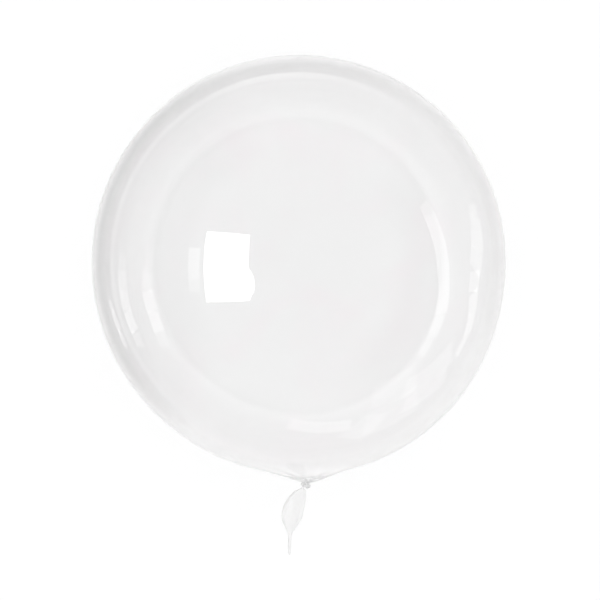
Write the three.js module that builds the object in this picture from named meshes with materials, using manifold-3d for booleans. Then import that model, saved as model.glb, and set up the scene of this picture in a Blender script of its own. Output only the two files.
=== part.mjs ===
// A clear bubble balloon, tied in its own neck and lying on its back.
//
// Units are millimetres and +Z is up. The crown points along +Y, and the neck, knot and tail along -Y.
// The origin is the centre of the small flat spot on which the balloon rests.
// The whole balloon is one skin of clear film, so it is one solid: the envelope, its pleated neck,
// the knot and the tail are made one by one and joined.

import * as THREE from "three";
import { mergeVertices } from "three/addons/utils/BufferGeometryUtils.js";
import Module from "manifold-3d";

// Envelope: a sphere above its middle, slightly fuller towards the neck.
const ENVELOPE_RADIUS = 250;
const NECK_SIDE_SEMI_AXIS = 257;
const FLAT_SPOT_RADIUS = 28;
const ENVELOPE_CENTRE_HEIGHT = Math.sqrt(ENVELOPE_RADIUS ** 2 - FLAT_SPOT_RADIUS ** 2);

// Neck: a straight cone that turns into a narrow throat, and leans to +X on its way.
const CONE_APEX_DISTANCE = 266.5;
const FUNNEL_START_RADIUS = 20;
const THROAT_RADIUS = 2.8;
const THROAT_DISTANCE = 267.5;
const THROAT_END_DISTANCE = 270;
const ENVELOPE_LEAN = 5;
const ENVELOPE_LEAN_POWER = 2.2;
const NECK_TIP_LEAN = 5.8;
const NECK_TIP_LENGTH = 18;

// Pleats: folds of the gathered film, which run from the throat out over the cone. Two sets of
// waves with different counts make them uneven.
const PLEAT_COUNT = 12;
const UNEVEN_PLEAT_COUNT = 7;
const UNEVEN_PLEAT_TURN = 1;
const UNEVEN_PLEAT_SHARE = 0.3;
const PLEAT_DEPTH = 1.7;
const PLEAT_FULL_RADIUS = 12;
const PLEAT_REACH = 85;

// Knot: an overhand knot in the gathered neck. The rope goes around a ring twice and weaves to and
// fro three times on its way. The ring lies around the line of the neck, which the knot turns from
// leaning right, where the film comes in, to leaning left, where the tail goes out.
const ROPE_RADIUS = 1.5;
const KNOT_ROUNDS = 2;
const KNOT_WEAVES = 3;
const KNOT_RING_RADIUS = 2.3 * ROPE_RADIUS;
const KNOT_WEAVE_WIDTH = 1.0 * ROPE_RADIUS;
const KNOT_WEAVE_HEIGHT = 1.1 * ROPE_RADIUS;
const KNOT_STRAND_SPACING = 1.06 * ROPE_RADIUS;
const KNOT_LEAD_LENGTH = 4.4 * ROPE_RADIUS;
const KNOT_DISTANCE = 269.5;
const KNOT_SHIFT = 8.5;
const KNOT_DROP = 3;
const KNOT_TILT = THREE.MathUtils.degToRad(28);

// Tail: the free end of the neck, a flat creased leaf that narrows to a stem. Places along it are
// shares of its length, and places across it are shares of its half width.
const TAIL_START_DISTANCE = 271;
const TAIL_START_SHIFT = 6;
const TAIL_LENGTH = 83;
const LEAF_OPEN = 0.3;
const LEAF_CLOSING = 0.42;
const LEAF_CLOSED = 0.74;
const TAIL_LEAF_HALF_WIDTH = 13;
const TAIL_STEM_HALF_WIDTH = 3;
const TAIL_TIP_HALF_WIDTH = 1.6;
const TAIL_HALF_THICKNESS = 2.2;
const TAIL_TIP_HALF_THICKNESS = 1.3;
const TAIL_END_ROUNDING = 0.03;
const TAIL_SIDE_SWING = -18;
const TAIL_SWING_REACH = 0.28;
const TAIL_DROOP = 4;
const TAIL_CREASE_HEIGHT = 1.6;
const TAIL_CREASE_WIDTH = 0.32;
const TAIL_CREASE_START = -0.7;
const TAIL_CREASE_END = 0.6;
const TAIL_CREASE_LENGTH = 0.7;

// Fineness of the faceted solids.
const ENVELOPE_SEGMENTS = 72;
const RING_STEP = THREE.MathUtils.degToRad(6);
const CONE_ROWS = 5;
const FUNNEL_ROWS = 6;
const KNOT_PATH_POINTS = 24;
const ROPE_SIDES = 8;
const ROPE_STEPS = 54;
const TAIL_SEGMENTS = 24;
const TAIL_ROWS = 24;
const TAIL_END_GAP = 0.01;
const MERGE_TOLERANCE = 1e-4;
const FLOOR_CUT_WIDTH = 4 * ENVELOPE_RADIUS;
const FLOOR_CUT_DEPTH = ENVELOPE_RADIUS / 5;

// Look of the film in the plain model.
const FILM_COLOUR = [0.93, 0.95, 0.95];
const FILM_ROUGHNESS = 0.08;
const FILM_OPACITY = 0.3;

const { smoothstep, lerp } = THREE.MathUtils;

const library = await Module();
library.setup();

/** Turn a closed three.js geometry into a solid that can be joined and cut. */
function toSolid(geometry) {
  const bare = geometry.clone();
  bare.deleteAttribute("normal");
  bare.deleteAttribute("uv");
  const merged = mergeVertices(bare, MERGE_TOLERANCE);
  const mesh = new library.Mesh({
    numProp: 3,
    vertProperties: new Float32Array(merged.attributes.position.array),
    triVerts: new Uint32Array(merged.index.array),
  });
  mesh.merge();
  return new library.Manifold(mesh);
}

/** Turn a solid back into a three.js geometry. */
function toGeometry(solid) {
  const mesh = solid.getMesh();
  const geometry = new THREE.BufferGeometry();
  geometry.setAttribute("position", new THREE.BufferAttribute(mesh.vertProperties, 3));
  geometry.setIndex(new THREE.BufferAttribute(mesh.triVerts, 1));
  geometry.computeVertexNormals();
  return geometry;
}

/** Move every vertex of a geometry to where move(position, normal) puts it. */
function warp(geometry, move) {
  const { position, normal } = geometry.attributes;
  const point = new THREE.Vector3();
  const direction = new THREE.Vector3();
  for (let i = 0; i < position.count; i += 1) {
    point.fromBufferAttribute(position, i);
    direction.fromBufferAttribute(normal, i);
    move(point, direction);
    position.setXYZ(i, point.x, point.y, point.z);
  }
  return geometry;
}

/** Outline of the envelope and neck, as radius and height, from the throat up to the crown. */
function envelopeOutline() {
  const throatEnd = new THREE.Vector2(0, -THROAT_END_DISTANCE);
  const coneEndAngle = Math.acos(NECK_SIDE_SEMI_AXIS / CONE_APEX_DISTANCE);
  const coneStart = new THREE.Vector2(
    ENVELOPE_RADIUS * Math.sin(coneEndAngle),
    -NECK_SIDE_SEMI_AXIS * Math.cos(coneEndAngle),
  );
  const apex = new THREE.Vector2(0, -CONE_APEX_DISTANCE);
  const onCone = (radius) => apex.clone().lerp(coneStart, radius / coneStart.x);
  const funnel = new THREE.QuadraticBezierCurve(
    new THREE.Vector2(THROAT_RADIUS, -THROAT_DISTANCE),
    onCone(THROAT_RADIUS),
    onCone(FUNNEL_START_RADIUS),
  );
  const points = [throatEnd, ...funnel.getPoints(FUNNEL_ROWS)];
  for (let row = 1; row < CONE_ROWS; row += 1) {
    points.push(onCone(lerp(FUNNEL_START_RADIUS, coneStart.x, row / CONE_ROWS)));
  }
  const lowerRows = Math.round((Math.PI / 2 - coneEndAngle) / RING_STEP);
  for (let row = 0; row < lowerRows; row += 1) {
    const angle = lerp(coneEndAngle, Math.PI / 2, row / lowerRows);
    const height = -NECK_SIDE_SEMI_AXIS * Math.cos(angle);
    points.push(new THREE.Vector2(ENVELOPE_RADIUS * Math.sin(angle), height));
  }
  const upperRows = Math.round(Math.PI / 2 / RING_STEP);
  for (let row = 0; row < upperRows; row += 1) {
    const angle = (row / upperRows) * (Math.PI / 2);
    points.push(new THREE.Vector2(ENVELOPE_RADIUS * Math.cos(angle), ENVELOPE_RADIUS * Math.sin(angle)));
  }
  points.push(new THREE.Vector2(0, ENVELOPE_RADIUS));
  return points;
}

/** Sideways shift of the neck's centre line, at a distance from the middle of the envelope. */
function leanAt(distance) {
  const gentle = ENVELOPE_LEAN * (Math.max(distance, 0) / ENVELOPE_RADIUS) ** ENVELOPE_LEAN_POWER;
  const tipStart = CONE_APEX_DISTANCE - NECK_TIP_LENGTH;
  return gentle + NECK_TIP_LEAN * smoothstep(distance, tipStart, CONE_APEX_DISTANCE);
}

/** Height of the pleats over the smooth cone. Deep and shallow folds alternate unevenly. */
function pleatHeight(angle, radius) {
  const even = Math.cos(PLEAT_COUNT * angle);
  const uneven = Math.cos(UNEVEN_PLEAT_COUNT * angle + UNEVEN_PLEAT_TURN);
  const folds = lerp(even, uneven, UNEVEN_PLEAT_SHARE);
  const room = Math.min(radius / PLEAT_FULL_RADIUS, 1);
  const fade = 1 - smoothstep(radius, PLEAT_FULL_RADIUS, PLEAT_REACH);
  return PLEAT_DEPTH * folds * room * fade;
}

/** The envelope with its pleated, leaning neck. */
function envelope() {
  const smooth = new THREE.LatheGeometry(envelopeOutline(), ENVELOPE_SEGMENTS);
  return warp(smooth, (point, normal) => {
    const radius = Math.hypot(point.x, point.z);
    if (point.y < 0 && radius > 0) {
      const angle = Math.atan2(point.z, point.x);
      point.addScaledVector(normal, pleatHeight(angle, radius));
    }
    point.x += leanAt(-point.y);
  });
}

/** A point of the knot: to the right of the neck's line, along it towards the tail, and above it. */
function knotPoint(right, along, up) {
  return new THREE.Vector3(
    KNOT_SHIFT + right * Math.cos(KNOT_TILT) - along * Math.sin(KNOT_TILT),
    -KNOT_DISTANCE - right * Math.sin(KNOT_TILT) - along * Math.cos(KNOT_TILT),
    up - KNOT_DROP,
  );
}

/** Centre line of the rope of gathered film, from inside the throat, through the knot, to the tail. */
function knotPath() {
  const outer = KNOT_RING_RADIUS + KNOT_WEAVE_WIDTH;
  const leadAngle = Math.asin(KNOT_STRAND_SPACING / outer) / 2;
  const halfLead = KNOT_LEAD_LENGTH / 2;
  const points = [
    knotPoint(KNOT_STRAND_SPACING, -KNOT_LEAD_LENGTH, KNOT_DROP),
    knotPoint(KNOT_STRAND_SPACING, -halfLead, outer),
  ];
  for (let i = 0; i <= KNOT_PATH_POINTS; i += 1) {
    const turn = lerp(leadAngle, 2 * Math.PI - leadAngle, i / KNOT_PATH_POINTS);
    const weave = KNOT_WEAVES * turn;
    const around = KNOT_ROUNDS * turn;
    const ring = KNOT_RING_RADIUS + KNOT_WEAVE_WIDTH * Math.cos(weave);
    const along = KNOT_WEAVE_HEIGHT * Math.sin(weave);
    points.push(knotPoint(ring * Math.sin(around), along, ring * Math.cos(around)));
  }
  points.push(
    knotPoint(-KNOT_STRAND_SPACING, halfLead, outer),
    knotPoint(-KNOT_STRAND_SPACING, KNOT_LEAD_LENGTH, KNOT_DROP),
  );
  return new THREE.CatmullRomCurve3(points, false, "centripetal");
}

/** The tied rope of gathered film. */
function knot() {
  const section = new THREE.Shape();
  section.absarc(0, 0, ROPE_RADIUS, 0, 2 * Math.PI);
  return new THREE.ExtrudeGeometry(section, {
    extrudePath: knotPath(),
    steps: ROPE_STEPS,
    curveSegments: ROPE_SIDES,
    bevelEnabled: false,
  });
}

/** How full the leaf of the tail is, from 0 at the knot and the stem to 1 at its widest. */
function leafFullness(along) {
  const opening = 1 - (1 - Math.min(along / LEAF_OPEN, 1)) ** 2;
  const closing = 1 - smoothstep(along, LEAF_CLOSING, LEAF_CLOSED);
  return opening * closing;
}

/** Half the width of the tail. */
function tailHalfWidth(along) {
  const stem = lerp(TAIL_STEM_HALF_WIDTH, TAIL_TIP_HALF_WIDTH, along);
  return lerp(stem, TAIL_LEAF_HALF_WIDTH, leafFullness(along));
}

/** Half the thickness of the tail. */
function tailHalfThickness(along) {
  return lerp(TAIL_HALF_THICKNESS, TAIL_TIP_HALF_THICKNESS, along);
}

/** The tail beyond the knot: a flat leaf, creased from corner to corner, and its stem. */
function tail() {
  const outline = [new THREE.Vector2(0, -TAIL_START_DISTANCE - TAIL_LENGTH)];
  for (let row = TAIL_ROWS; row >= 0; row -= 1) {
    const along = lerp(TAIL_END_GAP, 1 - TAIL_END_GAP, row / TAIL_ROWS);
    const tip = Math.min(1, Math.sqrt((1 - along) / TAIL_END_ROUNDING));
    outline.push(new THREE.Vector2(tailHalfWidth(along) * tip, -TAIL_START_DISTANCE - TAIL_LENGTH * along));
  }
  outline.push(new THREE.Vector2(0, -TAIL_START_DISTANCE));
  const round = new THREE.LatheGeometry(outline, TAIL_SEGMENTS);
  return warp(round, (point) => {
    const along = (-point.y - TAIL_START_DISTANCE) / TAIL_LENGTH;
    const across = point.x / tailHalfWidth(along);
    const creaseLine = lerp(TAIL_CREASE_START, TAIL_CREASE_END, along / TAIL_CREASE_LENGTH);
    const crease = Math.exp(-(((across - creaseLine) / TAIL_CREASE_WIDTH) ** 2));
    point.z *= tailHalfThickness(along) / tailHalfWidth(along);
    point.z += TAIL_CREASE_HEIGHT * leafFullness(along) * crease - TAIL_DROOP * along ** 2;
    point.x += TAIL_START_SHIFT + TAIL_SIDE_SWING * (1 - Math.exp(-along / TAIL_SWING_REACH));
  });
}

/** Everything below the floor, which the flat spot cuts away. */
function belowFloor() {
  const box = new THREE.BoxGeometry(FLOOR_CUT_WIDTH, FLOOR_CUT_WIDTH, FLOOR_CUT_DEPTH);
  box.translate(0, 0, -FLOOR_CUT_DEPTH / 2);
  return box;
}

/** The whole balloon as one solid, lying on its flat spot. */
function balloonGeometry() {
  const joined = toSolid(envelope()).add(toSolid(knot())).add(toSolid(tail()));
  const lifted = joined.translate([0, 0, ENVELOPE_CENTRE_HEIGHT]);
  return toGeometry(lifted.subtract(toSolid(belowFloor())));
}

const clearFilm = new THREE.MeshStandardMaterial({
  color: new THREE.Color(...FILM_COLOUR),
  roughness: FILM_ROUGHNESS,
  metalness: 0,
  transparent: true,
  opacity: FILM_OPACITY,
});

const balloon = new THREE.Mesh(balloonGeometry(), clearFilm);
balloon.name = "balloon";

const group = new THREE.Group();
group.add(balloon);

export default group;
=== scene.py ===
# %% [markdown]
# # A clear bubble balloon
# A bubble balloon is one piece of clear, glossy film, blown up until it is almost a perfect sphere.
# Its filling neck is gathered, tied in an overhand knot and left as a short flat tail.
# This lesson models the film as what it is: one closed skin that runs from the crown, down the round
# envelope, through the pleats and the knot, and out along the tail, with hollow spaces inside it.
# The balloon lies on its back on a pale floor, and the camera looks straight down on it.

# %% Load the frame
import math

import bpy
import mathutils
import numpy as np
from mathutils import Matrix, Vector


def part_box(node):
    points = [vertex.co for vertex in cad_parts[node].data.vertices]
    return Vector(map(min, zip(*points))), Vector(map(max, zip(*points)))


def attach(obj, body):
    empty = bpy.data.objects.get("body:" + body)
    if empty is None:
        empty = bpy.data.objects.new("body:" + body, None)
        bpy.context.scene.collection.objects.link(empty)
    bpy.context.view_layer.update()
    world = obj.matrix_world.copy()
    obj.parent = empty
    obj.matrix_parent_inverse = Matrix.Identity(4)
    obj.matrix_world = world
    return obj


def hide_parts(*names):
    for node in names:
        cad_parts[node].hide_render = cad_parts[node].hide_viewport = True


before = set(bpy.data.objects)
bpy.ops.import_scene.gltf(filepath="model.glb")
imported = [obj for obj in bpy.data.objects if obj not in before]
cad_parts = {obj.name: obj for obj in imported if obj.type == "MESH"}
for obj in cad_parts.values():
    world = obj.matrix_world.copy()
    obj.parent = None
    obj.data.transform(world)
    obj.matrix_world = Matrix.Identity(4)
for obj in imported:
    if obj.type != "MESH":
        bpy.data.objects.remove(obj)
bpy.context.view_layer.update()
scene = bpy.context.scene
MM = 0.001

# %% [markdown]
# ## Where the balloon is
# Every size below hangs on the envelope's radius. The frame gives it: the envelope is the widest part
# of the balloon, so half of the balloon's width is the radius, and the crown and the top of the
# envelope each lie one radius from its centre.

# %% Measure the envelope
lowest, highest = (np.array(corner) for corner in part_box("balloon"))
RADIUS = (highest[0] - lowest[0]) / 2
CENTRE = np.array([(lowest[0] + highest[0]) / 2, highest[1] - RADIUS, highest[2] - RADIUS])
TAIL_TIP = CENTRE[1] - lowest[1]
print(f"radius {RADIUS:.4f} m, centre {CENTRE.round(4)}, tail tip {TAIL_TIP:.4f} m from the centre")

# %% [markdown]
# ## The camera
# The balloon lies down, so a camera above it sees what a camera beside a hanging balloon sees.
# It stands far back with a long lens, which keeps the sphere's outline round. Its frame is a little
# wider than the balloon, and is centred between the crown and the tip of the tail.

# %% Place the camera
CAMERA_DISTANCE = 4.0
FRAME_WIDTH = 2.9 * RADIUS
SENSOR_WIDTH = 36
FRAME_MIDDLE = np.array([0.006 * RADIUS, -0.183 * RADIUS, 0.0])

camera_data = bpy.data.cameras.new("camera")
camera_data.sensor_width = SENSOR_WIDTH
camera_data.lens = SENSOR_WIDTH * CAMERA_DISTANCE / FRAME_WIDTH
camera = bpy.data.objects.new("camera", camera_data)
camera.location = CENTRE + FRAME_MIDDLE + [0, 0, CAMERA_DISTANCE]
scene.collection.objects.link(camera)
scene.camera = camera
print(f"lens {camera_data.lens:.1f} mm")

# %% [markdown]
# ## Helpers for curves
# Three small functions serve every shape: a soft step, a straight blend, and a curve through points.
# The curve is a Catmull-Rom spline. Each stretch between two points is a cubic whose slope at a point
# is half the way from the point before to the point after, so the stretches join smoothly.

# %% Curve helpers
STEPS_PER_POINT = 40


def soft_step(value, start, end):
    """0 up to start, 1 from end, and between them 3t² - 2t³, with t the share of the way."""
    t = np.clip((value - start) / (end - start), 0, 1)
    return t * t * (3 - 2 * t)


def blend(start, end, share):
    """The straight blend from start to end: start plus share times the difference."""
    return start + (end - start) * share


def smooth_curve(points, count):
    """count points, evenly spaced along the Catmull-Rom spline through points."""
    points = np.asarray(points, float)
    padded = np.vstack([2 * points[0] - points[1], points, 2 * points[-1] - points[-2]])
    place = np.linspace(0, len(points) - 1, STEPS_PER_POINT * len(points))
    first = np.minimum(place.astype(int), len(points) - 2)
    t = (place - first)[:, None]
    a, b, c, d = (padded[first + shift] for shift in range(4))
    fine = 0.5 * (2 * b + (c - a) * t + (2 * a - 5 * b + 4 * c - d) * t**2 + (3 * b - a - 3 * c + d) * t**3)
    steps = np.linalg.norm(np.diff(fine, axis=0), axis=1)
    length = np.concatenate([[0], np.cumsum(steps)])
    even = np.linspace(0, length[-1], count)
    return np.stack([np.interp(even, length, fine[:, axis]) for axis in range(3)], axis=1)


# %% [markdown]
# ## The outline of the envelope
# Seen from the side, the film has four stretches: a half circle from the crown to the middle, half an
# ellipse that is slightly fuller, a straight cone where the neck pulls the film tight, and a curved
# funnel that ends in the narrow throat. Each stretch meets the next with the same slope.
# Each point is a radius and a distance from the middle, which is negative on the crown's side.

# %% Envelope outline
NECK_SIDE_SEMI_AXIS = 1.028 * RADIUS
CONE_APEX = 1.066 * RADIUS
FUNNEL_START_RADIUS = 20 * MM
THROAT_RADIUS = 2.8 * MM
THROAT_DISTANCE = 267 * MM
ROUND_ROWS = 46
CONE_ROWS = 16
FUNNEL_ROWS = 30


def envelope_outline():
    """Radius and distance of each row of the envelope, from the crown to the throat.

    Round part: radius times the sine, semi-axis times the cosine. Funnel: a quadratic Bezier curve.
    """
    cone_angle = math.acos(NECK_SIDE_SEMI_AXIS / CONE_APEX)
    crown = np.linspace(0, math.pi / 2, ROUND_ROWS, endpoint=False)[1:]
    lower = np.linspace(math.pi / 2, math.pi - cone_angle, ROUND_ROWS, endpoint=False)
    cone_top = RADIUS * math.sin(cone_angle)
    cone_radius = np.linspace(cone_top, FUNNEL_START_RADIUS, CONE_ROWS, endpoint=False)
    cone_length = CONE_APEX - NECK_SIDE_SEMI_AXIS * math.cos(cone_angle)
    t = np.linspace(0, 1, FUNNEL_ROWS)
    start = FUNNEL_START_RADIUS, CONE_APEX - cone_length * FUNNEL_START_RADIUS / cone_top
    corner = THROAT_RADIUS, CONE_APEX - cone_length * THROAT_RADIUS / cone_top
    end = THROAT_RADIUS, THROAT_DISTANCE
    funnel = [(1 - t) ** 2 * a + 2 * t * (1 - t) * b + t**2 * c for a, b, c in zip(start, corner, end)]
    radius = [RADIUS * np.sin(crown), RADIUS * np.sin(lower), cone_radius, funnel[0]]
    distance = [
        -RADIUS * np.cos(crown),
        -NECK_SIDE_SEMI_AXIS * np.cos(lower),
        CONE_APEX - cone_length * cone_radius / cone_top,
        funnel[1],
    ]
    return np.concatenate(radius), np.concatenate(distance)


outline_radius, outline_distance = envelope_outline()
print(f"envelope rows {len(outline_radius)}, throat at {outline_distance[-1]:.4f} m")

# %% [markdown]
# ## The line of the neck
# The neck doesn't leave the envelope quite straight. It leans to the right, gently at first and
# quickly at its tip. The film then enters the knot as a rope about 3 mm thick.
# An overhand knot is a trefoil: a line that winds three times through a ring while it goes twice
# round it. The knot is cut open at one outer loop, where the film comes in and the tail goes out.

# %% Neck and knot line
ENVELOPE_LEAN = 5 * MM
NECK_TIP_LEAN = 5.8 * MM
NECK_TIP_LENGTH = 18 * MM
LEAN_POWER = 2.2
ROPE_RADIUS = 1.5 * MM
KNOT_RING = 2.3 * ROPE_RADIUS
KNOT_WIDTH = 1.0 * ROPE_RADIUS
KNOT_HEIGHT = 1.1 * ROPE_RADIUS
STRAND_SPACING = 1.06 * ROPE_RADIUS
LEAD_IN = 1.3 * ROPE_RADIUS
LEAD_OUT = 1.2 * ROPE_RADIUS
KNOT_POINTS = 25
ROPE_ROWS = 112
KNOT_DISTANCE = 269.5 * MM
KNOT_SHIFT = 8.5 * MM
KNOT_DROP = 3 * MM
KNOT_TILT = math.radians(28)
TAIL_START = 272.5 * MM
TAIL_SHIFT = 6 * MM
THROAT_LIFT = 0.4 * MM
ROPE_END_SHIFT = TAIL_SHIFT - 1.2 * MM
ROPE_END_LIFT = 0.3 * MM


def neck_lean(distance):
    """Sideways shift of the neck's centre: a power of the distance, plus a soft step near the tip."""
    gentle = ENVELOPE_LEAN * (np.maximum(distance, 0) / RADIUS) ** LEAN_POWER
    return gentle + NECK_TIP_LEAN * soft_step(distance, CONE_APEX - NECK_TIP_LENGTH, CONE_APEX)


def knot_point(right, along, up):
    """A point of the knot, from its place right of the neck's line, along it, and above it."""
    return np.stack([
        KNOT_SHIFT + right * math.cos(KNOT_TILT) - along * math.sin(KNOT_TILT),
        -KNOT_DISTANCE - right * math.sin(KNOT_TILT) - along * math.cos(KNOT_TILT),
        up - KNOT_DROP,
    ], axis=-1)


def rope_line(rows):
    """The rope from the throat to the tail. Ring radius a + b cos 3t, turned by 2t, lifted c sin 3t."""
    outer = KNOT_RING + KNOT_WIDTH
    cut = math.asin(STRAND_SPACING / outer) / 2
    turn = np.linspace(cut, 2 * math.pi - cut, KNOT_POINTS)
    ring = KNOT_RING + KNOT_WIDTH * np.cos(3 * turn)
    loops = knot_point(ring * np.sin(2 * turn), KNOT_HEIGHT * np.sin(3 * turn), ring * np.cos(2 * turn))
    throat = [neck_lean(THROAT_DISTANCE), -THROAT_DISTANCE, THROAT_LIFT]
    rope_end = [ROPE_END_SHIFT, -TAIL_START, ROPE_END_LIFT]
    lead_in = knot_point(STRAND_SPACING, -LEAD_IN, outer)
    lead_out = knot_point(-STRAND_SPACING, LEAD_OUT, outer)
    return smooth_curve(np.vstack([throat, lead_in, loops, lead_out, rope_end]), rows)


rope = rope_line(ROPE_ROWS)
rope_length = np.linalg.norm(np.diff(rope, axis=0), axis=1).sum()
print(f"rope in the knot {rope_length / MM:.0f} mm long")

# %% [markdown]
# ## Sections along the film
# The skin is a row of closed sections, each with the same number of points, like the ribs of a hull.
# A section needs a centre and two directions that span it. Down the envelope and along the tail these
# are simply right and up. Along the rope they are carried from one section to the next without
# turning more than the line does, which keeps the film from wringing itself.
# At both ends of the rope the sections lean back to the neck's own line, so that none cross.

# %% Section directions
RIGHT = np.array([1.0, 0, 0])
UP = np.array([0, 0, 1.0])
ALONG = np.array([0, -1.0, 0])
COLUMNS = 144
EASE_IN = 0.1
EASE_OUT = 0.92
angle = np.linspace(0, 2 * math.pi, COLUMNS, endpoint=False)


def unit(vectors):
    """Each vector divided by its own length."""
    return vectors / np.linalg.norm(vectors, axis=-1, keepdims=True)


def rope_directions(line):
    """Right and up of each section of the rope, carried along it and then turned back to level."""
    share = np.linspace(0, 1, len(line))
    ease = (soft_step(share, 0, EASE_IN) * (1 - soft_step(share, EASE_OUT, 1)))[:, None]
    axis = unit(blend(ALONG, unit(np.gradient(line, axis=0)), ease))
    right = np.empty_like(line)
    carried = RIGHT
    for i, direction in enumerate(axis):
        carried = unit(carried - carried.dot(direction) * direction)
        right[i] = carried
    up = np.cross(axis, right)
    wrung = math.atan2(right[-1].dot(UP), right[-1].dot(RIGHT))
    turn = (-wrung * share)[:, None]
    return right * np.cos(turn) + up * np.sin(turn), up * np.cos(turn) - right * np.sin(turn)


rope_right, rope_up = rope_directions(rope)
print("rope ends level:", rope_right[-1].round(3), rope_up[-1].round(3))

# %% [markdown]
# ## Pleats
# Where the film is gathered it folds into pleats. They are deepest close to the throat, they run
# straight out over the cone, and they fade where the pressure pulls the film smooth.
# Cosines of the angle around the neck make them: a few deep folds as on the solid, and finer wrinkles
# that the solid leaves out. Two different counts in each pair keep the folds from being all alike.
# Each wave is a count, a height as a share of the depth, and a phase.

# %% Pleat height
PLEATS = (12, 0.7, 0.0), (7, 0.3, 1.0)
PLEAT_DEPTH = 0.9 * MM
PLEAT_FULL_RADIUS = 12 * MM
PLEAT_REACH = 60 * MM
WRINKLES = (31, 1.0, 0.8), (23, 0.8, 2.1)
WRINKLE_DEPTH = 0.22 * MM
WRINKLE_REACH = 34 * MM
THROAT_FADE = 1.5


def waves(around, parts):
    """The sum of cosines of the angle around, each part with its count, height and phase."""
    return sum(height * np.cos(count * around + phase) for count, height, phase in parts)


def pleat_height(around, radius):
    """Waves around the neck, faded outwards by a soft step and towards the throat with the radius."""
    room = np.minimum(radius / PLEAT_FULL_RADIUS, 1)
    folds = room * (1 - soft_step(radius, PLEAT_FULL_RADIUS, PLEAT_REACH))
    fine = room**THROAT_FADE * (1 - soft_step(radius, PLEAT_FULL_RADIUS, WRINKLE_REACH))
    deep = PLEAT_DEPTH * waves(around, PLEATS) * folds
    return deep + WRINKLE_DEPTH * waves(around, WRINKLES) * fine


print(f"pleats {pleat_height(angle, PLEAT_FULL_RADIUS).max() / MM:.2f} mm high at most")

# %% [markdown]
# ## The tail
# Past the knot the neck opens again into a flat leaf, because the tube of film was never blown up
# there, and then it narrows to a stem. Places along it are shares of its length, from 0 at the knot
# to 1 at the tip. Its half width is a soft rise from the knot and a soft fall to the stem.

# %% Tail shape
TAIL_FORM_START = 271 * MM
TAIL_LENGTH = TAIL_TIP - TAIL_FORM_START
FIRST_SECTION = (TAIL_START + 0.4 * MM - TAIL_FORM_START) / TAIL_LENGTH
LAST_SECTION = 0.995
TAIL_ROWS = 76
OPENING_START = 1.5 * MM
OPENING_END = 5 * MM
TIP_ROUNDING = 0.03
LEAF_FULL = 0.3
LEAF_NARROWS = 0.42
STEM_BEGINS = 0.74
LEAF_HALF_WIDTH = 13 * MM
STEM_HALF_WIDTH = 3 * MM
TIP_HALF_WIDTH = 1.6 * MM
TAIL_HALF_THICKNESS = 2.2 * MM
TIP_HALF_THICKNESS = 1.3 * MM
TAIL_SWING = -18 * MM
SWING_SHARE = 0.28
TAIL_DROOP = 4 * MM


def leaf_fullness(along):
    """0 at the knot and the stem, 1 at the leaf's widest: a parabola's rise times a soft fall."""
    opening = 1 - (1 - np.minimum(along / LEAF_FULL, 1)) ** 2
    return opening * (1 - soft_step(along, LEAF_NARROWS, STEM_BEGINS))


def tail_half_width(along):
    """Half the width of the tail: a stem that tapers, filled out to the leaf."""
    return blend(blend(STEM_HALF_WIDTH, TIP_HALF_WIDTH, along), LEAF_HALF_WIDTH, leaf_fullness(along))


print(f"leaf {2 * tail_half_width(np.array(LEAF_FULL)) / MM:.1f} mm wide")

# %% [markdown]
# ## Creases in the tail
# Film that was never blown up keeps its creases. One broad crease wanders from the left edge to the
# right one. A narrow fold stands up along the left edge, and another dips along the right one.
# Across the tail each is a bell curve. A slow ripple over both directions keeps the rest from being
# too smooth, and all of it fades where the leaf narrows.

# %% Tail sections
CREASE_HEIGHT = 1.6 * MM
CREASE_FROM = -0.7
CREASE_TO = 0.6
CREASE_LENGTH = 0.7
CREASE_WIDTH = 0.32
LEFT_FOLD = -0.72
LEFT_FOLD_WIDTH = 0.12
RIGHT_FOLD = 0.66
RIGHT_FOLD_WIDTH = 0.13
RIGHT_FOLD_DEPTH = 0.8
FOLD_SHARE = 0.35
RIPPLE_SHARE = 0.12
RIPPLE_ACROSS = 9
RIPPLE_ALONG = 40
RIPPLE_SWELL = 22


def bell(value, middle, width):
    """A bell curve: e to the power of minus the square of the distance from the middle in widths."""
    return np.exp(-(((value - middle) / width) ** 2))


def tail_lift(across, along):
    """Height of the creases: bell curves across the tail, and a ripple of two waves multiplied."""
    crease = bell(across, blend(CREASE_FROM, CREASE_TO, along / CREASE_LENGTH), CREASE_WIDTH)
    left_fold = bell(across, LEFT_FOLD, LEFT_FOLD_WIDTH)
    right_fold = RIGHT_FOLD_DEPTH * bell(across, RIGHT_FOLD, RIGHT_FOLD_WIDTH)
    ripple = np.cos(RIPPLE_ACROSS * across + RIPPLE_ALONG * along) * np.sin(RIPPLE_SWELL * along)
    height = crease + FOLD_SHARE * (left_fold - right_fold) + RIPPLE_SHARE * ripple
    return CREASE_HEIGHT * leaf_fullness(along) * height


def tail_rows(thinner=0.0):
    """Points of the tail's sections. thinner takes that much off every half width and half thickness.

    Each section is an ellipse: half width times the cosine, half thickness times the sine, and a lift.
    """
    along = np.linspace(FIRST_SECTION, LAST_SECTION, TAIL_ROWS)[:, None]
    opened = soft_step(along * TAIL_LENGTH, OPENING_START, OPENING_END)
    tip = np.minimum(1, np.sqrt((1 - along) / TIP_ROUNDING))
    half_width = blend(ROPE_RADIUS, tail_half_width(along), opened) * tip - thinner
    thickness = blend(TAIL_HALF_THICKNESS, TIP_HALF_THICKNESS, along)
    half_thickness = blend(ROPE_RADIUS, thickness, opened) * tip - thinner
    across = np.cos(angle)[None, :]
    x = TAIL_SHIFT + TAIL_SWING * (1 - np.exp(-along / SWING_SHARE)) + half_width * across
    y = -(TAIL_FORM_START + TAIL_LENGTH * along) + 0 * across
    z = half_thickness * np.sin(angle)[None, :] + tail_lift(across, along) - TAIL_DROOP * along**2
    return np.stack([x, y, z], axis=-1)


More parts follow.
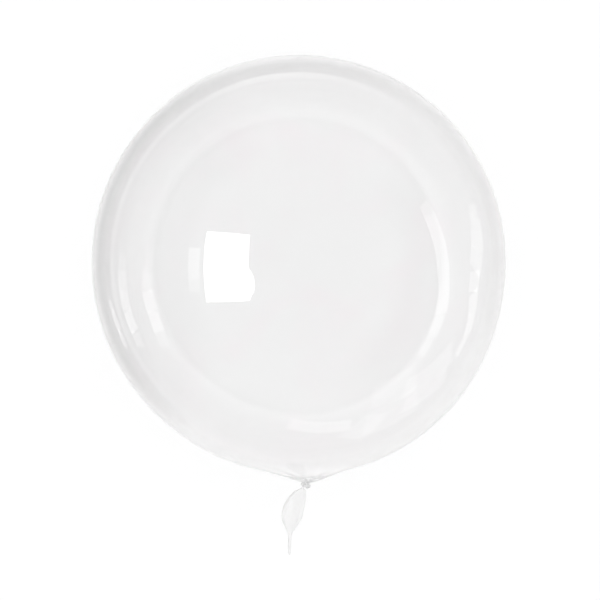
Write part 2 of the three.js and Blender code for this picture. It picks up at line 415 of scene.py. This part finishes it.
tail_part = tail_rows()
print("rows and columns of the tail:", tail_part.shape[:2])

# %% [markdown]
# ## The outer skin
# The whole skin is one grid of points. Its rows go from the crown to the tip of the tail, and its
# columns go once around. The rope's section has a few lobes, because gathered film is a bundle of
# folds rather than a round cord.

# %% Rows of the skin
PLEATS_FULL = 0.3 * RADIUS
LOBES = 5
LOBE_DEPTH = 0.055
LOBE_TWIST = 9
FINE_LOBES = 12
FINE_LOBE_DEPTH = 0.03
ROPE_FILL = 0.93
THROAT_SHARE = 0.07


def envelope_rows(radius, distance, inward=0.0):
    """Points of the envelope's sections: a circle about the leaning line, moved by the pleats."""
    slope_radius, slope_distance = np.gradient(radius), np.gradient(distance)
    size = np.hypot(slope_radius, slope_distance)
    normal_radius, normal_along = slope_distance / size, -slope_radius / size
    neck_side = soft_step(distance, 0, PLEATS_FULL)[:, None]
    height = pleat_height(angle[None, :], radius[:, None]) * neck_side
    height = height - (inward * np.ones_like(radius))[:, None]
    ring = radius[:, None] + height * normal_radius[:, None]
    x = neck_lean(distance)[:, None] + ring * np.cos(angle)
    y = -distance[:, None] - height * normal_along[:, None]
    z = ring * np.sin(angle)
    return np.stack([x, y, z], axis=-1)


def rope_rows(line, right, up, thinner=0.0):
    """Points of the rope's sections: circles with five and twelve lobes, wider at the throat."""
    share = np.linspace(0, 1, len(line))[:, None]
    lobes = LOBE_DEPTH * np.cos(LOBES * angle + LOBE_TWIST * share)
    lobes = lobes + FINE_LOBE_DEPTH * np.cos(FINE_LOBES * angle)
    narrowed = soft_step(share, 0, THROAT_SHARE)
    radius = blend(THROAT_RADIUS, ROPE_FILL * ROPE_RADIUS * (1 + lobes), narrowed)
    pleats = (1 - narrowed) * pleat_height(angle[None, :], THROAT_RADIUS)
    ring = (radius + pleats - thinner)[:, :, None]
    spread = np.cos(angle)[None, :, None] * right[:, None] + np.sin(angle)[None, :, None] * up[:, None]
    return line[:, None] + ring * spread


envelope_part = envelope_rows(outline_radius, outline_distance)
rope_part = rope_rows(rope, rope_right, rope_up)[1:-1]
outer_rows = np.concatenate([envelope_part, rope_part, tail_part])
print("rows and columns of the skin:", outer_rows.shape[:2])

# %% [markdown]
# ## Hollow inside
# A balloon that bends no light must be hollow: a solid ball of clear plastic would be a lens.
# The neck and the tail were a tube once, and even the knotted rope is folds of film with air between
# them. So one hollow runs inside the skin all the way, a film's thickness in from it.
# The film gets thicker where it is gathered, since many folds lie on each other there.

# %% Rows of the hollow
FILM = 0.12 * MM
GATHERED_FILM = 0.45 * MM
LEAF_FILM = 0.3 * MM
GATHER_RADIUS = 30 * MM
SOLID_TIP_ROWS = 3

wall = blend(GATHERED_FILM, FILM, soft_step(outline_radius, THROAT_RADIUS, GATHER_RADIUS))
hollow_rows = np.concatenate([
    envelope_rows(outline_radius, outline_distance, wall),
    rope_rows(rope, rope_right, rope_up, GATHERED_FILM)[1:-1],
    tail_rows(LEAF_FILM)[:-SOLID_TIP_ROWS],
])
print("rows of the hollow:", len(hollow_rows))

# %% [markdown]
# ## The flat spot
# The balloon rests on a small flat spot. A soft maximum presses the film flat: half of the height,
# plus half of the root of its square and a small square, never falls below the floor, yet leaves
# everything higher as it was.

# %% Settle the film on the floor
PRESS_SOFTNESS = 0.6 * MM
TIP_CAP = 0.35 * MM
HOLLOW_CAP = 0.1 * MM


def settle(points, level):
    """Move points to the balloon's place, and press what is below level softly up to it."""
    placed = points + CENTRE
    above = placed[..., 2] - level
    placed[..., 2] = level + 0.5 * (above + np.sqrt(above**2 + PRESS_SOFTNESS**2))
    return placed


crown = np.array([0, RADIUS, 0])
tip = tail_part[-1].mean(axis=0) - [0, TIP_CAP, 0]
hollow_tip = hollow_rows[-1].mean(axis=0) - [0, HOLLOW_CAP, 0]
skin = settle(outer_rows, 0), settle(crown, 0), settle(tip, 0)
air = settle(hollow_rows, FILM), settle(crown - [0, FILM, 0], FILM), settle(hollow_tip, FILM)
print(f"lowest point of the skin {skin[0][..., 2].min() / MM:.2f} mm above its resting level")

# %% [markdown]
# ## Making the mesh
# A closed shell is the grid's four-sided faces, and a fan of triangles to a pole at each end.
# The skin's faces point out. A hollow's faces point into the hollow, out of the film, so the two
# shells together bound exactly the film.

# %% Grid to mesh
def shell(rows, first_pole, last_pole, start, flip):
    """Vertices and faces of a closed shell. Vertex numbers count from start, and flip turns faces."""
    count, columns = rows.shape[:2]
    number = start + np.arange(count * columns).reshape(count, columns)
    beside = np.roll(number, -1, axis=1)
    quads = np.stack([number[:-1], beside[:-1], beside[1:], number[1:]], axis=-1).reshape(-1, 4)
    poles = start + count * columns, start + count * columns + 1
    first = np.stack([np.full(columns, poles[0]), beside[0], number[0]], axis=-1)
    last = np.stack([np.full(columns, poles[1]), number[-1], beside[-1]], axis=-1)
    triangles = np.concatenate([first, last])
    if flip:
        quads, triangles = quads[:, ::-1], triangles[:, ::-1]
    vertices = np.concatenate([rows.reshape(-1, 3), [first_pole, last_pole]])
    return vertices, quads.tolist() + triangles.tolist()


def make_object(name, shells):
    """One mesh object from (rows, first pole, last pole, flip) shells, with smooth shading."""
    vertices = np.zeros((0, 3))
    faces = []
    for rows, first_pole, last_pole, flip in shells:
        points, polygons = shell(rows, first_pole, last_pole, len(vertices), flip)
        vertices = np.concatenate([vertices, points])
        faces += polygons
    mesh = bpy.data.meshes.new(name)
    mesh.from_pydata(vertices, [], faces)
    mesh.polygons.foreach_set("use_smooth", np.ones(len(faces), bool))
    mesh.update()
    made = bpy.data.objects.new(name, mesh)
    scene.collection.objects.link(made)
    return made


film = make_object("balloon_film", [(*skin, False), (*air, True)])
film.data.validate()
print("triangles of film:", sum(len(face.vertices) - 2 for face in film.data.polygons))

# %% [markdown]
# ## Where the film is milky
# Stretched film is crystal clear. In the knot it is gathered, so one looks through many folds, and
# the tail was never blown up, so it stays crumpled. Both scatter light and look milky. A number on
# every vertex tells the material how much: 0 on the envelope, three quarters in the tail, and up to
# nine tenths in the knot.

# %% Milky attribute
GATHER_REACH = 22 * MM
GATHER_START = 0.9 * RADIUS
TAIL_MILK_START = TAIL_START - 1 * MM
TAIL_MILK_FULL = TAIL_START + 6 * MM
KNOT_MILK = 0.9
TAIL_MILK = 0.75


def milky_amount(points):
    """A bell curve around the knot, and an even share over the tail."""
    distance = CENTRE[1] - points[:, 1]
    beside = np.hypot(points[:, 0] - CENTRE[0] - neck_lean(THROAT_DISTANCE), points[:, 2] - CENTRE[2])
    close = bell(beside, 0, GATHER_REACH) * soft_step(distance, GATHER_START, THROAT_DISTANCE)
    in_tail = soft_step(distance, TAIL_MILK_START, TAIL_MILK_FULL)
    return KNOT_MILK * close * (1 - in_tail) + TAIL_MILK * in_tail


film_points = np.zeros(3 * len(film.data.vertices))
film.data.vertices.foreach_get("co", film_points)
milk = milky_amount(film_points.reshape(-1, 3))
film.data.attributes.new("milky", "FLOAT", "POINT").data.foreach_set("value", milk)
print(f"milky from {milk.min():.2f} to {milk.max():.2f}")

# %% [markdown]
# ## Node helpers
# Materials are built from nodes. A few helpers keep that short: one adds a node, and the others use
# it to do sums, map a value from one range to another, make noise, and mix two colours or two shaders.

# %% Node helpers
def add_node(tree, kind, **settings):
    """A node of that kind, with its settings, its plain inputs and its links from other sockets."""
    node = tree.nodes.new(kind)
    inputs = settings.pop("inputs", {})
    for setting, value in settings.items():
        setattr(node, setting, value)
    for key, value in inputs.items():
        if isinstance(value, bpy.types.NodeSocket):
            tree.links.new(value, node.inputs[key])
        else:
            node.inputs[key].default_value = value
    return node


def maths(tree, operation, first, second=0.0, third=0.0):
    """The result of one maths node."""
    values = {0: first, 1: second, 2: third}
    return add_node(tree, "ShaderNodeMath", operation=operation, inputs=values).outputs[0]


def mapped(tree, value, low, high, to_low=0.0, to_high=1.0):
    """value, mapped from low..high to to_low..to_high and softened at both ends."""
    values = {"Value": value, "From Min": low, "From Max": high, "To Min": to_low, "To Max": to_high}
    node = add_node(tree, "ShaderNodeMapRange", interpolation_type="SMOOTHSTEP", inputs=values)
    return node.outputs["Result"]


def noise(tree, place, **settings):
    """Noise at a place, from 0 to 1 with its middle near 0.5."""
    return add_node(tree, "ShaderNodeTexNoise", inputs={"Vector": place, **settings}).outputs["Fac"]


def mixed(tree, share, first, second):
    """The colour that is share of the way from the first to the second."""
    colours = {0: share, 6: first, 7: second}
    return add_node(tree, "ShaderNodeMix", data_type="RGBA", inputs=colours).outputs[2]


def mixed_shader(tree, share, first, second):
    """The shader that is share of the way from the first to the second."""
    return add_node(tree, "ShaderNodeMixShader", inputs={0: share, 1: first, 2: second}).outputs[0]


# %% [markdown]
# ## Dust and smears
# A clear balloon picks up fine dust, and hands leave faint smears. Head on they hardly show: the smears
# give a trace of pink, and both dull the shine a little. One node group makes them from noise at two
# scales: broad soft smears, and dust as small rare specks.

# %% Dust group
SMEAR_NOISE = {"Scale": 11.0, "Detail": 4.0, "Distortion": 0.6}
SMEAR_RANGE = 0.48, 0.72
SMEAR_DULLNESS = 0.03
DUST_NOISE = {"Scale": 900.0, "Detail": 2.0}
DUST_RANGE = 0.68, 0.76
DUST_DULLNESS = 0.1


def make_dust_group():
    """Node group: smears are soft noise over a threshold, dust is fine noise over a high one."""
    tree = bpy.data.node_groups.new("dust and smears", "ShaderNodeTree")
    tree.interface.new_socket("Vector", in_out="INPUT", socket_type="NodeSocketVector")
    for label, usual in (("Smears", 0.5), ("Dust", 0.5)):
        tree.interface.new_socket(label, in_out="INPUT", socket_type="NodeSocketFloat").default_value = usual
    for label in ("Smears", "Dust", "Roughness"):
        tree.interface.new_socket(label, in_out="OUTPUT", socket_type="NodeSocketFloat")
    entry = tree.nodes.new("NodeGroupInput").outputs
    smear_noise = noise(tree, entry["Vector"], **SMEAR_NOISE)
    dust_noise = noise(tree, entry["Vector"], **DUST_NOISE)
    smears = maths(tree, "MULTIPLY", mapped(tree, smear_noise, *SMEAR_RANGE), entry["Smears"])
    dust = maths(tree, "MULTIPLY", mapped(tree, dust_noise, *DUST_RANGE), entry["Dust"])
    dusty = maths(tree, "MULTIPLY", dust, DUST_DULLNESS)
    dull = maths(tree, "MULTIPLY_ADD", smears, SMEAR_DULLNESS, dusty)
    leave = tree.nodes.new("NodeGroupOutput").inputs
    for label, value in (("Smears", smears), ("Dust", dust), ("Roughness", dull)):
        tree.links.new(value, leave[label])
    return tree


dust_group = make_dust_group()
print("group outputs:", [item.name for item in dust_group.interface.items_tree if item.in_out == "OUTPUT"])

# %% [markdown]
# ## Clear film
# The film is a Principled shader with full transmission: glass in all but name, with a plastic's index
# of refraction. Seen edge on it greys: painted shade that darkens the rim, far more than the longer path
# through the film would, and none where it turns milky. The more milky it is, the more it scatters the
# light that it lets through.

# %% Clear film shader
FILM_IOR = 1.5
CLEAR = (0.998, 0.998, 0.998, 1)
# The colour below is painted shade that greys the film where it is seen edge on, towards the rim.
EDGE_ON_SHADE = (0.89, 0.885, 0.888, 1)
SMEARED = (0.998, 0.973, 0.984, 1)
DUSTY = (0.92, 0.92, 0.92, 1)
SMEAR_AMOUNT = 0.6
DUST_AMOUNT = 0.35
EDGE_SHADE_RANGE = 0.2, 0.6
EDGE_SHADE_ENDS_AT = 0.5
SCATTER_ROUGHNESS = 0.3


def clear_shader(tree, place, milky):
    """Glass whose colour is mixed from clear, smeared, dusty, and painted shade where it is seen edge on."""
    wear = add_node(
        tree, "ShaderNodeGroup", node_tree=dust_group,
        inputs={"Vector": place, "Smears": SMEAR_AMOUNT, "Dust": DUST_AMOUNT},
    ).outputs
    facing = add_node(tree, "ShaderNodeLayerWeight").outputs["Facing"]
    not_milky = mapped(tree, milky, 0.0, EDGE_SHADE_ENDS_AT, 1.0, 0.0)
    # Painted shade: the film greys where it is seen edge on, towards the rim.
    edge = maths(tree, "MULTIPLY", mapped(tree, facing, *EDGE_SHADE_RANGE), not_milky)
    colour = mixed(tree, edge, mixed(tree, wear["Smears"], CLEAR, SMEARED), EDGE_ON_SHADE)
    return add_node(
        tree, "ShaderNodeBsdfPrincipled",
        inputs={
            "Base Color": mixed(tree, wear["Dust"], colour, DUSTY),
            "Roughness": maths(tree, "MULTIPLY_ADD", milky, SCATTER_ROUGHNESS, wear["Roughness"]),
            "IOR": FILM_IOR,
            "Transmission Weight": 1.0,
        },
    ).outputs[0]


print("clear film: index of refraction", FILM_IOR)

# %% [markdown]
# ## Milky film
# Film that lies in folds is a second surface: matt, pale and opaque. Around the neck it is nearly
# white, painted light that stands in for the light shining through the thin folds, and in the tail a pale
# grey. The knot is light, with painted shade in fine grey creases. Noise with a grain of about two
# millimetres draws them.

# %% Milky film shader
# The first colour is painted light: near white around the neck, for the light that shines through the thin
# folds.
THIN_MILKY = (0.97, 0.97, 0.97, 1)
MILKY = (0.79, 0.79, 0.79, 1)
KNOTTED = (0.9, 0.9, 0.9, 1)
# The next colour is painted shade in the knot's creases.
CREASE_SHADE = (0.68, 0.68, 0.685, 1)
THICK_RANGE = 0.6, 0.72
KNOT_RANGE = 0.78, 0.86
CREASE_SHADE_SCALE = 420.0
CREASE_SHADE_RANGE = 0.45, 0.6
MATT_ROUGHNESS = 0.6
MATT_SHINE = 0.2


def milky_shader(tree, place, milky):
    """Matt film, whose colour goes with the milky number: painted light around the neck, pale grey in the
    tail, and in the knot light with painted crease shade.
    """
    # Painted shade: grey noise in the knot's creases.
    crease_shade = mapped(tree, noise(tree, place, Scale=CREASE_SHADE_SCALE), *CREASE_SHADE_RANGE)
    in_knot = mapped(tree, milky, *KNOT_RANGE)
    thick = mapped(tree, milky, *THICK_RANGE)
    # Painted light brightens the folds around the neck.
    pale = mixed(tree, in_knot, mixed(tree, thick, THIN_MILKY, MILKY), KNOTTED)
    return add_node(
        tree, "ShaderNodeBsdfPrincipled",
        inputs={
            "Base Color": mixed(tree, maths(tree, "MULTIPLY", crease_shade, in_knot), pale, CREASE_SHADE),
            "Roughness": MATT_ROUGHNESS,
            "Specular IOR Level": MATT_SHINE,
        },
    ).outputs[0]


print("milky film: from", THIN_MILKY[0], "around the neck to", MILKY[0], "in the tail")

# %% [markdown]
# ## The film's material
# The milky number mixes the two shaders. Mirrored rays pass the milky film by, or a small grey copy of
# the tail would hang above the knot.
# Real film lets the light of a room straight through, and a renderer finds those paths only by luck.
# So for rays that look for light, the film is a Transparent shader that takes a little light away.
# The camera always meets the real film.

# %% Film material
CRUMPLED_RANGE = 0.1, 0.5
LIGHT_KEPT = 0.985


def make_film_material():
    """Clear and milky film for the camera, nearly transparent for light on its way to the floor."""
    material = bpy.data.materials.new("clear film")
    material.use_nodes = True
    tree = material.node_tree
    tree.nodes.clear()
    place = add_node(tree, "ShaderNodeTexCoord").outputs["Object"]
    milky = add_node(tree, "ShaderNodeAttribute", attribute_name="milky").outputs["Fac"]
    clear_film = clear_shader(tree, place, milky)
    milky_film = milky_shader(tree, place, milky)
    kept = (LIGHT_KEPT, LIGHT_KEPT, LIGHT_KEPT, 1)
    passing = add_node(tree, "ShaderNodeBsdfTransparent", inputs={"Color": kept}).outputs[0]
    rays = add_node(tree, "ShaderNodeLightPath").outputs
    seen = mixed_shader(tree, milky, clear_film, milky_film)
    mirrored = mixed_shader(tree, mapped(tree, milky, *CRUMPLED_RANGE), clear_film, passing)
    seen = mixed_shader(tree, rays["Is Glossy Ray"], seen, mirrored)
    for ray in ("Is Shadow Ray", "Is Diffuse Ray"):
        seen = mixed_shader(tree, rays[ray], seen, passing)
    tree.links.new(seen, tree.nodes.new("ShaderNodeOutputMaterial").inputs["Surface"])
    return material


film.data.materials.append(make_film_material())
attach(film, "root")
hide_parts("balloon")
print("film shows in place of the solid")

# %% [markdown]
# ## The floor
# The floor is a wide, pale, matt sheet, about a third of a millimetre below the balloon. Mirrored rays
# don't see it: a white floor mirrored in the rim would wipe out the balloon's edge, and a photographer would
# hold grey cards just outside the view for the same reason. The studio's own light takes its place.
# Light that gets inside and is mirrored by the far wall does see the floor, so painted shade, for light
# that falls off with distance, greys the paper some way from the balloon, down to the grey of the
# studio's walls. A sharp horizon would show as a ring.

# %% Floor
FLOOR_SIZE = 80.0
FLOOR_GAP = 0.3 * MM
SHADE_FADE_RANGE = 0.6, 3.0
PAPER_TONES = (0.895, 0.895, 0.895, 1), (0.905, 0.905, 0.905, 1)
PAPER_SCALE = 3.0
PAPER_ROUGHNESS = 0.9
# The far colour is painted shade, for light that falls off far from the balloon.
FAR_PAINTED_SHADE = (0.45, 0.45, 0.45, 1)


def make_floor():
    """A square sheet around the balloon, with a faint uneven paper tone and painted shade that greys it far
    away.
    """
    half = FLOOR_SIZE / 2
    corners = [(half * x, half * y, -FLOOR_GAP) for x, y in ((-1, -1), (1, -1), (1, 1), (-1, 1))]
    mesh = bpy.data.meshes.new("floor")
    mesh.from_pydata(corners, [], [(0, 1, 2, 3)])
    sheet = bpy.data.objects.new("floor", mesh)
    scene.collection.objects.link(sheet)
    material = bpy.data.materials.new("pale paper")
    material.use_nodes = True
    tree = material.node_tree
    paper = tree.nodes["Principled BSDF"]
    paper.inputs["Roughness"].default_value = PAPER_ROUGHNESS
    paper.inputs["Specular IOR Level"].default_value = 0.0
    place = add_node(tree, "ShaderNodeTexCoord").outputs["Object"]
    near_paper = mixed(tree, noise(tree, place, Scale=PAPER_SCALE), *PAPER_TONES)
    distance = add_node(tree, "ShaderNodeVectorMath", operation="LENGTH", inputs={0: place}).outputs["Value"]
    # Painted shade: the paper greys with distance from the balloon.
    colour = mixed(tree, mapped(tree, distance, *SHADE_FADE_RANGE), near_paper, FAR_PAINTED_SHADE)
    tree.links.new(colour, paper.inputs["Base Color"])
    mesh.materials.append(material)
    sheet.visible_glossy = False
    return sheet


floor = make_floor()
print("floor laid")

# %% [markdown]
# ## The studio's surroundings
# A clear balloon shows little but what is around it, so the light is the look. Overhead the studio is
# a soft grey. It gets lighter towards the floor, and close to the floor it is nearly white, which
# keeps the balloon's lower edge pale. Behind the crown and to the left the lights are off: that side
# draws the dark band along the balloon's upper edge. A thin strip of light runs above it.
# Each side is a ramp from straight down to straight up, and a soft step around the room joins them.
# Three more ramps finish the room: shade on the left and the right, and some light in front.
# Each fade is the azimuth of a side's middle, and the cosines of the angles from it at which the side
# begins and is full.

# %% World
LIT_SIDE = (
    (-1.0, 1.1), (-0.84, 1.02), (-0.7, 1.02), (-0.6, 0.95), (-0.45, 0.74), (-0.28, 0.44), (-0.13, 0.32),
    (-0.05, 0.36), (0.0, 0.42), (0.1, 0.45), (0.3, 0.46), (1.0, 0.38),
)
DARK_SIDE = (
    (-1.0, 1.1), (-0.96, 1.1), (-0.92, 1.08), (-0.88, 0.94), (-0.84, 0.74), (-0.79, 0.42), (-0.72, 0.24),
    (-0.635, 0.14), (-0.615, 1.05), (-0.54, 1.05), (-0.51, 0.66), (-0.41, 0.5), (-0.28, 0.32), (-0.13, 0.28),
    (-0.05, 0.34), (0.0, 0.4), (0.1, 0.43), (0.3, 0.45), (1.0, 0.38),
)
LEFT_SHADE = (
    (-1.0, 0.0), (-0.96, 0.1), (-0.9, 0.25), (-0.8, 0.75), (-0.64, 0.85), (-0.58, 0.5), (-0.5, 0.85),
    (0.3, 0.9), (0.4, 0.7), (0.55, 0.0),
)
RIGHT_SHADE = (
    (-1.0, 0.0), (-0.93, 0.05), (-0.86, 0.2), (-0.8, 0.36), (-0.72, 0.4), (-0.6, 0.2), (-0.5, 0.0),
)
FRONT_LIGHT = ((-1.0, 0.0), (-0.5, 0.0), (-0.35, 0.2), (-0.1, 0.32), (0.1, 0.3), (0.35, 0.0))
DARK_FADE = math.radians(140), -0.2, 0.75
LEFT_FADE = math.radians(170), 0.35, 0.85
RIGHT_FADE = math.radians(30), 0.45, 1.0
FRONT_FADE = math.radians(-50), 0.5, 0.95


def ramp(tree, height, stops):
    """Brightness by height from -1, straight down, to 1, straight up, through the stops."""
    share = maths(tree, "MULTIPLY_ADD", height, 0.5, 0.5)
    node = add_node(tree, "ShaderNodeValToRGB", inputs={0: share})
    elements = node.color_ramp.elements
    while len(elements) < len(stops):
        elements.new(0.5)
    for element, (level, brightness) in zip(elements, stops):
        element.position = (level + 1) / 2
        element.color = (brightness, brightness, brightness, 1)
    return node.outputs["Color"]


def make_world():
    """Lit side to dark side by direction, times 1 less the left and right shade, plus the front light."""
    world = bpy.data.worlds.new("studio")
    world.use_nodes = True
    tree = world.node_tree
    tree.nodes.clear()
    direction = add_node(tree, "ShaderNodeTexCoord").outputs["Generated"]
    x, y, height = add_node(tree, "ShaderNodeSeparateXYZ", inputs={0: direction}).outputs
    level = maths(tree, "SQRT", maths(tree, "MULTIPLY_ADD", x, x, maths(tree, "MULTIPLY", y, y)))

    def towards(azimuth, start, end):
        """Soft step of the cosine of the angle between a direction and azimuth, around the room."""
        beside = maths(tree, "MULTIPLY", y, math.sin(azimuth))
        ahead = maths(tree, "MULTIPLY_ADD", x, math.cos(azimuth), beside)
        return mapped(tree, maths(tree, "DIVIDE", ahead, level), start, end)

    tone = mixed(tree, towards(*DARK_FADE), ramp(tree, height, LIT_SIDE), ramp(tree, height, DARK_SIDE))
    left = maths(tree, "MULTIPLY", towards(*LEFT_FADE), ramp(tree, height, LEFT_SHADE))
    right = maths(tree, "MULTIPLY", towards(*RIGHT_FADE), ramp(tree, height, RIGHT_SHADE))
    front = maths(tree, "MULTIPLY", towards(*FRONT_FADE), ramp(tree, height, FRONT_LIGHT))
    shade = maths(tree, "ADD", maths(tree, "SUBTRACT", maths(tree, "SUBTRACT", 1.0, left), right), front)
    back = add_node(tree, "ShaderNodeBackground", inputs={"Color": tone, "Strength": shade})
    tree.links.new(back.outputs[0], tree.nodes.new("ShaderNodeOutputWorld").inputs["Surface"])
    return world


scene.world = make_world()
scene.view_settings.view_transform = "Standard"
print("studio surroundings ready")

# %% [markdown]
# ## Overhead light
# One broad lamp straight above lights the floor evenly. Mirrored rays don't see it, because its round
# highlight would stand in the middle of the film.

# %% Overhead light
OVERHEAD_STRENGTH = 2.32
OVERHEAD_SPREAD = math.radians(60)

sun_data = bpy.data.lights.new("overhead light", "SUN")
sun_data.energy = OVERHEAD_STRENGTH
sun_data.angle = OVERHEAD_SPREAD
sun = bpy.data.objects.new("overhead light", sun_data)
sun.visible_glossy = False
sun.visible_transmission = False
sun.visible_camera = False
scene.collection.objects.link(sun)
print("overhead light spread over", round(math.degrees(OVERHEAD_SPREAD)), "degrees")

# %% [markdown]
# ## Lamps for highlights
# The highlights on the film are lamps that only mirrored rays see. Each is given by the places where
# it should shine, seen from above, in shares of the radius. A ray from the camera is followed to that
# place: it meets the film where the line enters the ball, and a ray that runs along d and meets film
# facing n goes on along d - 2(d·n)n. The lamp stands on that line and faces the film. A bent strip
# light is a row of flat lamps.

# %% Lamp helpers
LAMP_DISTANCE = 1.6


def mirror_path(across, along):
    """The film point seen at that place, and the lamp place that it mirrors to the camera."""
    eye = np.array(camera.location)
    ray = unit(CENTRE + RADIUS * np.array([across, along, 0.0]) - eye)
    nearest = (CENTRE - eye).dot(ray)
    half_chord = math.sqrt(RADIUS**2 - (CENTRE - eye).dot(CENTRE - eye) + nearest**2)
    film_point = eye + (nearest - half_chord) * ray
    normal = (film_point - CENTRE) / RADIUS
    return film_point, film_point + LAMP_DISTANCE * (ray - 2 * ray.dot(normal) * normal)


def flat_lamp(name, start, end, share, brightness, shape):
    """One flat lamp whose highlight runs from start to end and is share of the radius wide.

    Its power is its brightness times pi times its area, so a bigger lamp is no brighter to look at.
    """
    start, end = np.array(start), np.array(end)
    middle = (start + end) / 2
    beside = np.array([start[1] - end[1], end[0] - start[0]]) / np.linalg.norm(end - start) * share / 2
    film_point, place = mirror_path(*middle)
    long_side = mirror_path(*end)[1] - mirror_path(*start)[1]
    width = np.linalg.norm(mirror_path(*(middle + beside))[1] - mirror_path(*(middle - beside))[1])
    lamp_data = bpy.data.lights.new(name, "AREA")
    lamp_data.shape = shape
    lamp_data.size = np.linalg.norm(long_side)
    lamp_data.size_y = width
    filled = math.pi / 4 if shape == "ELLIPSE" else 1
    lamp_data.energy = brightness * math.pi * lamp_data.size * lamp_data.size_y * filled
    lamp = bpy.data.objects.new(name, lamp_data)
    facing = unit(film_point - place)
    side = unit(long_side - long_side.dot(facing) * facing)
    turned = np.stack([side, np.cross(-facing, side), -facing], axis=1)
    lamp.matrix_world = mathutils.Matrix.Translation(place) @ mathutils.Matrix(turned.tolist()).to_4x4()
    lamp.visible_camera = False
    lamp.visible_diffuse = False
    lamp.visible_transmission = False
    scene.collection.objects.link(lamp)


def strip_light(name, places, widths, brightness, shape="RECTANGLE"):
    """A strip through the places, with a width and a brightness for each stretch between them."""
    for i, (start, end) in enumerate(zip(places[:-1], places[1:])):
        flat_lamp(f"{name} {i + 1}", start, end, widths[i], brightness[i], shape)


lamp_above = mirror_path(0.0, 0.0)[1]
print("the ball's middle mirrors a lamp at", lamp_above.round(2))

# %% [markdown]
# ## The window and the strip lights
# A bright window stands on the left, with a round lamp at its lower corner, and a fainter ghost of it
# further out. Strip lights follow the rim on both sides, and a few soft lights shine low, in the
# middle and on the right. Every strip lists its places, then each stretch's width and brightness.

# %% Window and strip lights
strip_light("window", [(-0.353, 0.149), (-0.354, -0.193)], [0.222], [9.0])
strip_light("round lamp", [(-0.261, -0.024), (-0.247, -0.165)], [0.08], [9.0], "ELLIPSE")
strip_light("window ghost", [(-0.506, 0.07), (-0.509, -0.085), (-0.505, -0.14)], [0.055, 0.05], [1.4, 0.8])
strip_light(
    "right strip",
    [(0.602, 0.285), (0.634, 0.227), (0.663, 0.154), (0.69, 0.058), (0.703, -0.045), (0.704, -0.135),
     (0.69, -0.232), (0.648, -0.328), (0.59, -0.425)],
    [0.05, 0.056, 0.058, 0.058, 0.052, 0.054, 0.045, 0.035],
    [1.1, 1.7, 1.75, 1.6, 1.45, 1.35, 1.1, 0.75],
)
strip_light(
    "right edge strip",
    [(0.835, 0.28), (0.851, 0.227), (0.86, 0.154), (0.865, 0.058), (0.853, -0.039), (0.846, -0.135),
     (0.841, -0.232), (0.815, -0.328), (0.764, -0.425)],
    [0.03, 0.045, 0.055, 0.055, 0.045, 0.035, 0.028, 0.02],
    [0.5, 0.65, 0.75, 0.78, 0.76, 0.85, 0.88, 0.75],
)
strip_light(
    "left strip",
    [(-0.7175, 0.058), (-0.73, -0.039), (-0.734, -0.135), (-0.708, -0.232), (-0.677, -0.328), (-0.65, -0.4)],
    [0.035, 0.048, 0.055, 0.052, 0.045], [0.35, 0.7, 1.15, 1.3, 0.5],
)
strip_light(
    "left edge strip",
    [(-0.85, 0.03), (-0.8575, -0.039), (-0.85, -0.135), (-0.831, -0.232), (-0.795, -0.328), (-0.766, -0.4)],
    [0.035, 0.04, 0.04, 0.038, 0.033], [0.4, 0.7, 1.0, 1.2, 0.6],
)
strip_light(
    "left rim line", [(-0.912, -0.18), (-0.903, -0.232), (-0.865, -0.328), (-0.84, -0.4)],
    [0.014, 0.018, 0.016], [0.6, 0.8, 0.7],
)
strip_light("soft light", [(-0.066, -0.768), (0.25, -0.768), (0.38, -0.76)], [0.05, 0.09], [0.8, 0.4])
strip_light("middle soft light", [(0.47, -0.52), (0.46, -0.64), (0.44, -0.76)], [0.165, 0.15], [0.42, 0.36])
strip_light("outer soft light", [(0.64, -0.463), (0.625, -0.56), (0.6, -0.64)], [0.15, 0.1], [0.5, 0.42])
